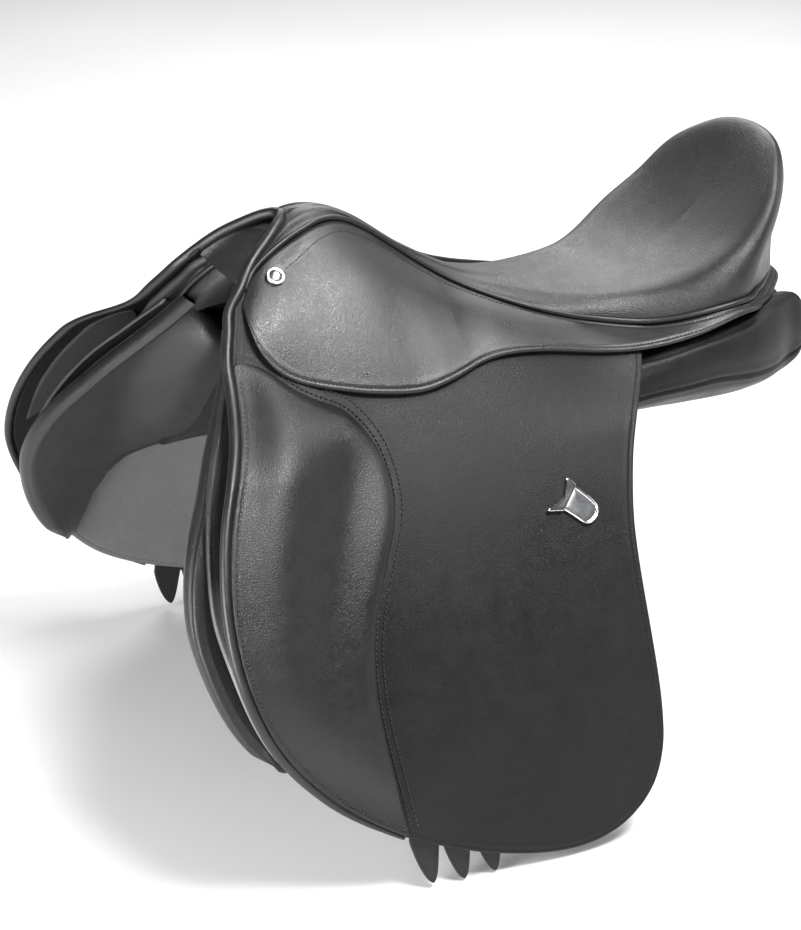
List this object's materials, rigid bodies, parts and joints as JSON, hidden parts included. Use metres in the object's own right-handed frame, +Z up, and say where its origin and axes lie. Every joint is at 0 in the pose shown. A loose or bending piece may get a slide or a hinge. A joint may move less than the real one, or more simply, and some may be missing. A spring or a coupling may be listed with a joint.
{
  "type": "english saddle",
  "caption": "English riding saddle: sprung tree, dished seat, lifting skirts and flaps, stirrup bars, flocked panels and girth straps.",
  "frame": {"origin": "on the centre plane in the gullet channel between the panels, where the saddle sits on the horse's back", "axes": "+X from the pommel back to the cantle, -Y the near (left) side, +Z up"},
  "size_m": [0.554, 0.4982, 0.4155],
  "materials": {
    "flap_leather": "smooth semi-matt black bridle leather",
    "pad_leather": "soft black calf over foam",
    "piping_leather": "glossy black piping",
    "lining_leather": "black lining leather",
    "panel_leather": "soft black panel leather",
    "seat_leather": "soft black seat leather",
    "strap_leather": "black girth strap leather",
    "bright_metal": "polished nickel",
    "forged_steel": "forged stainless steel",
    "blued_steel": "blued spring steel",
    "tree_laminate": "laminated beech, lacquered",
    "foam": "latex foam",
    "webbing": "woven webbing"
  },
  "bodies": {
    "saddle": {"arch_lining": "lining_leather", "bar_rivets_left": "forged_steel", "bar_rivets_right": "forged_steel", "catch_pin_left": "forged_steel", "catch_pin_right": "forged_steel", "flap_top_left": "flap_leather", "flap_top_right": "flap_leather", "girth_web_left": "lining_leather", "girth_web_right": "lining_leather", "gullet_plate": "blued_steel", "head_rivets": "blued_steel", "knee_roll_left": "panel_leather", "knee_roll_right": "panel_leather", "panel_left": "panel_leather", "panel_right": "panel_leather", "point_pocket_left": "lining_leather", "point_pocket_right": "lining_leather", "pommel_cover": "seat_leather", "pommel_piping": "piping_leather", "seat_cover": "seat_leather", "seat_foam": "foam", "seat_spring_left": "blued_steel", "seat_spring_right": "blued_steel", "seat_web_cross": "webbing", "seat_web_long": "webbing", "seat_welt_left": "piping_leather", "seat_welt_right": "piping_leather", "skirt_band_left": "flap_leather", "skirt_band_right": "flap_leather", "stirrup_bar_left": "forged_steel", "stirrup_bar_right": "forged_steel", "stud_left": "bright_metal", "stud_right": "bright_metal", "sweat_flap_left": "lining_leather", "sweat_flap_right": "lining_leather", "tree_cantle": "tree_laminate", "tree_head": "tree_laminate", "tree_rail_left": "tree_laminate", "tree_rail_right": "tree_laminate"},
    "skirt_left": {"skirt_left": "flap_leather"},
    "flap_left": {"flap_left": "flap_leather", "flap_piping_left": "piping_leather", "knee_pad_left": "pad_leather", "keeper_left": "bright_metal"},
    "catch_left": {"catch_left": "forged_steel"},
    "billet_1_left": {"billet_1_left": "strap_leather"},
    "billet_2_left": {"billet_2_left": "strap_leather"},
    "billet_3_left": {"billet_3_left": "strap_leather"},
    "skirt_right": {"skirt_right": "flap_leather"},
    "flap_right": {"flap_right": "flap_leather", "flap_piping_right": "piping_leather", "knee_pad_right": "pad_leather", "keeper_right": "bright_metal"},
    "catch_right": {"catch_right": "forged_steel"},
    "billet_1_right": {"billet_1_right": "strap_leather"},
    "billet_2_right": {"billet_2_right": "strap_leather"},
    "billet_3_right": {"billet_3_right": "strap_leather"}
  },
  "joints": [
    {"name": "skirt_lift_left", "type": "hinge", "parent": "saddle", "child": "skirt_left", "pos_m": [-0.1221, -0.0781, 0.08855], "axis": [-0.9212, 0.2481, 0.2997], "range_deg": [0, 50]},
    {"name": "flap_lift_left", "type": "hinge", "parent": "saddle", "child": "flap_left", "pos_m": [0, -0.11722, 0.024], "axis": [-1, 0, 0], "range_deg": [0, 75]},
    {"name": "catch_fold_left", "type": "hinge", "parent": "saddle", "child": "catch_left", "pos_m": [-0.1055, -0.06992, 0.07186], "axis": [0, 0.6778, 0.7352], "range_deg": [0, 30]},
    {"name": "billet_1_swing_left", "type": "hinge", "parent": "saddle", "child": "billet_1_left", "pos_m": [-0.141, -0.1165, 0.01], "axis": [0, -0.9135, 0.4067], "range_deg": [-6, 6]},
    {"name": "billet_2_swing_left", "type": "hinge", "parent": "saddle", "child": "billet_2_left", "pos_m": [-0.117, -0.1165, 0.01], "axis": [0, -0.9135, 0.4067], "range_deg": [-6, 6]},
    {"name": "billet_3_swing_left", "type": "hinge", "parent": "saddle", "child": "billet_3_left", "pos_m": [-0.093, -0.1165, 0.01], "axis": [0, -0.9135, 0.4067], "range_deg": [-6, 6]},
    {"name": "skirt_lift_right", "type": "hinge", "parent": "saddle", "child": "skirt_right", "pos_m": [-0.1221, 0.0781, 0.08855], "axis": [0.9212, 0.2481, -0.2997], "range_deg": [0, 50]},
    {"name": "flap_lift_right", "type": "hinge", "parent": "saddle", "child": "flap_right", "pos_m": [0, 0.11722, 0.024], "axis": [1, 0, 0], "range_deg": [0, 75]},
    {"name": "catch_fold_right", "type": "hinge", "parent": "saddle", "child": "catch_right", "pos_m": [-0.1055, 0.06992, 0.07186], "axis": [0, 0.6778, -0.7352], "range_deg": [0, 30]},
    {"name": "billet_1_swing_right", "type": "hinge", "parent": "saddle", "child": "billet_1_right", "pos_m": [-0.141, 0.1165, 0.01], "axis": [0, -0.9135, -0.4067], "range_deg": [-6, 6]},
    {"name": "billet_2_swing_right", "type": "hinge", "parent": "saddle", "child": "billet_2_right", "pos_m": [-0.117, 0.1165, 0.01], "axis": [0, -0.9135, -0.4067], "range_deg": [-6, 6]},
    {"name": "billet_3_swing_right", "type": "hinge", "parent": "saddle", "child": "billet_3_right", "pos_m": [-0.093, 0.1165, 0.01], "axis": [0, -0.9135, -0.4067], "range_deg": [-6, 6]}
  ],
  "couplings": [
    {"joint": "billet_2_swing_left", "follows": "billet_1_swing_left", "ratio": 1},
    {"joint": "billet_3_swing_left", "follows": "billet_1_swing_left", "ratio": 1},
    {"joint": "billet_2_swing_right", "follows": "billet_1_swing_right", "ratio": 1},
    {"joint": "billet_3_swing_right", "follows": "billet_1_swing_right", "ratio": 1}
  ]
}
